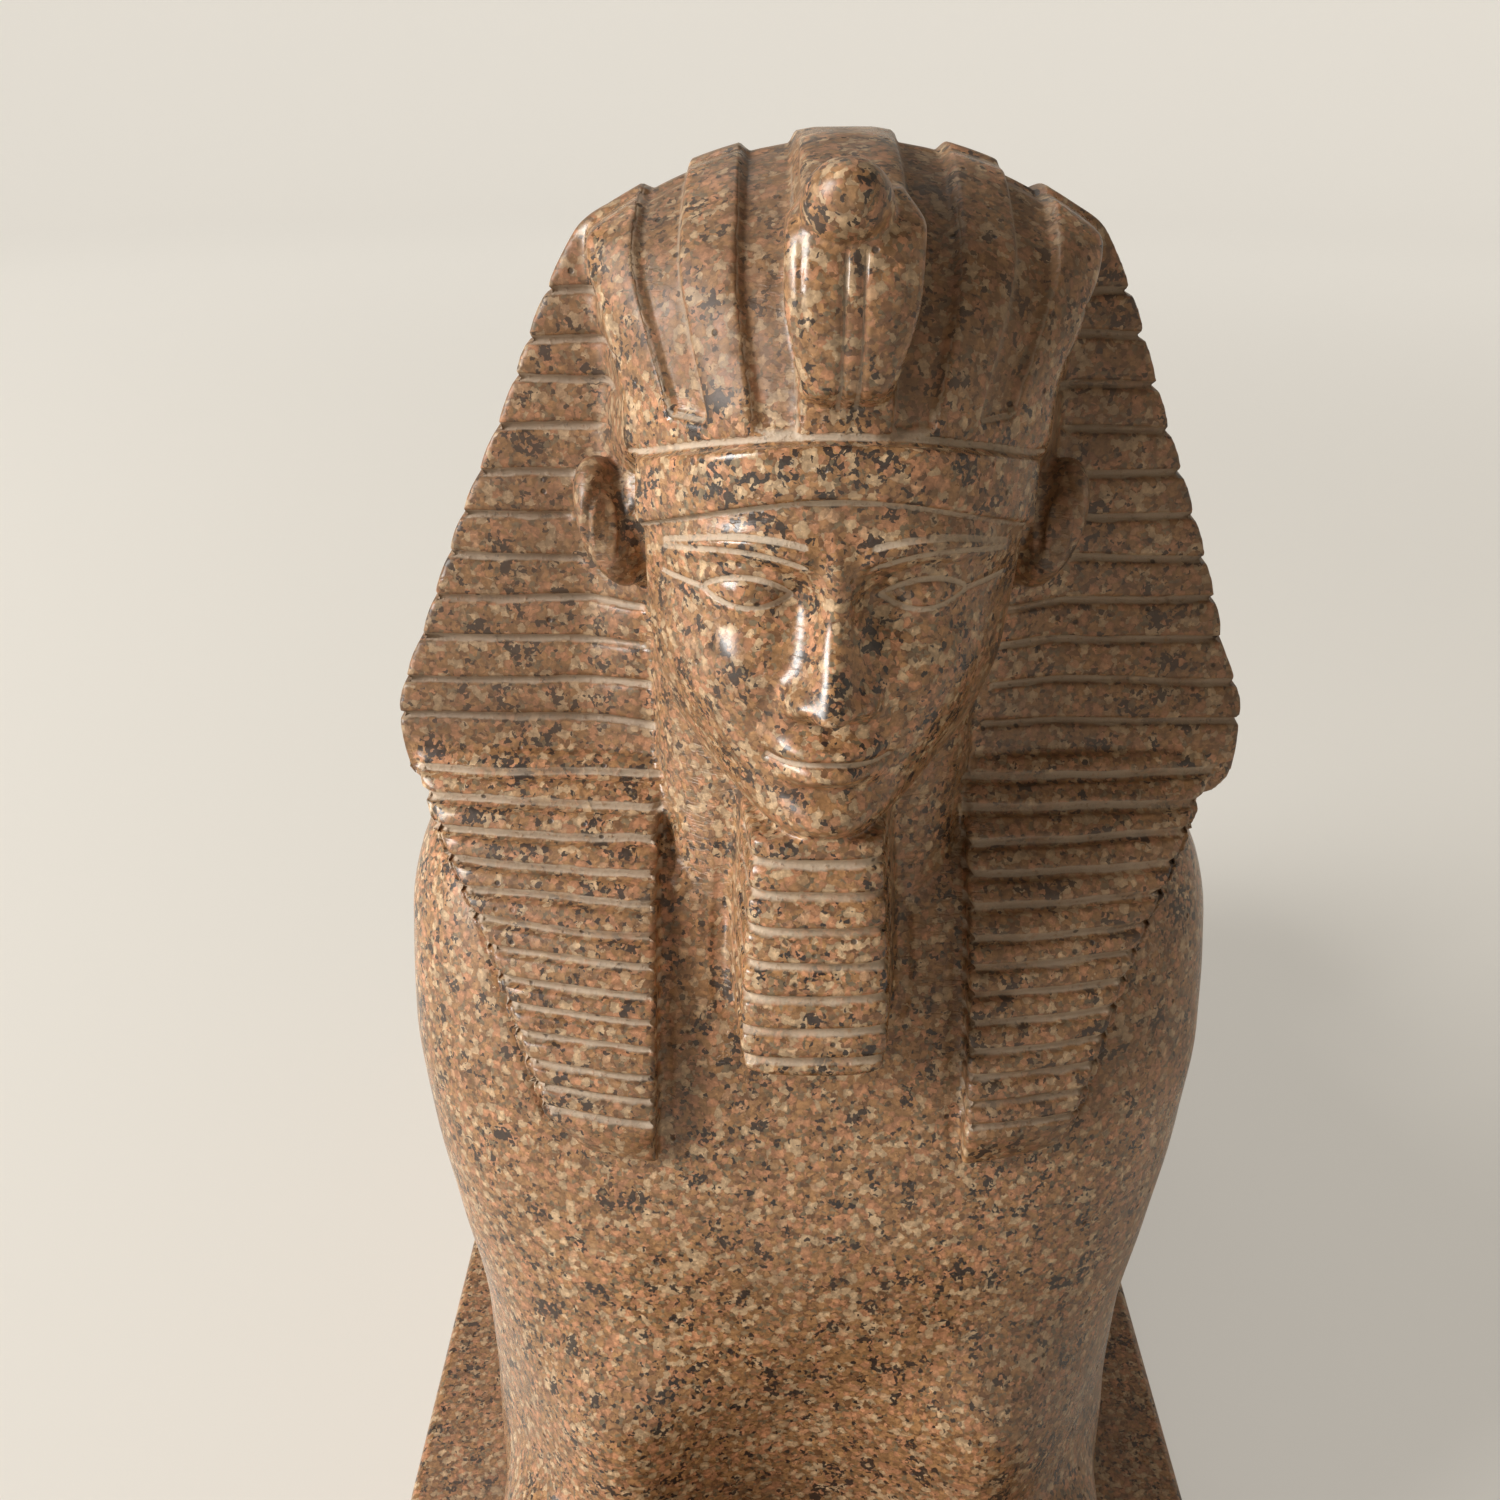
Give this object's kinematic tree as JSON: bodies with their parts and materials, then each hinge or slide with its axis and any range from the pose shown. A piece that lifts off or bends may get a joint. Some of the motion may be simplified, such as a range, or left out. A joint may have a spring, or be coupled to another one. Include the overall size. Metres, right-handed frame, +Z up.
{
  "type": "sphinx statue",
  "caption": "Recumbent royal sphinx carved in one piece with a low rectangular plinth, in polished granite, with striped headcloth, cobra and ribbed beard.",
  "frame": {"origin": "centre of the plinth's underside", "axes": "+Z up from the underside to the crown, -Y the way the face looks, +Y towards the tail, +X towards the figure's left side"},
  "size_m": [0.184, 0.46, 0.33],
  "materials": {
    "granite": "polished, with rough pale tool lines"
  },
  "bodies": {
    "root": {"sphinx": "granite"}
  },
  "joints": []
}
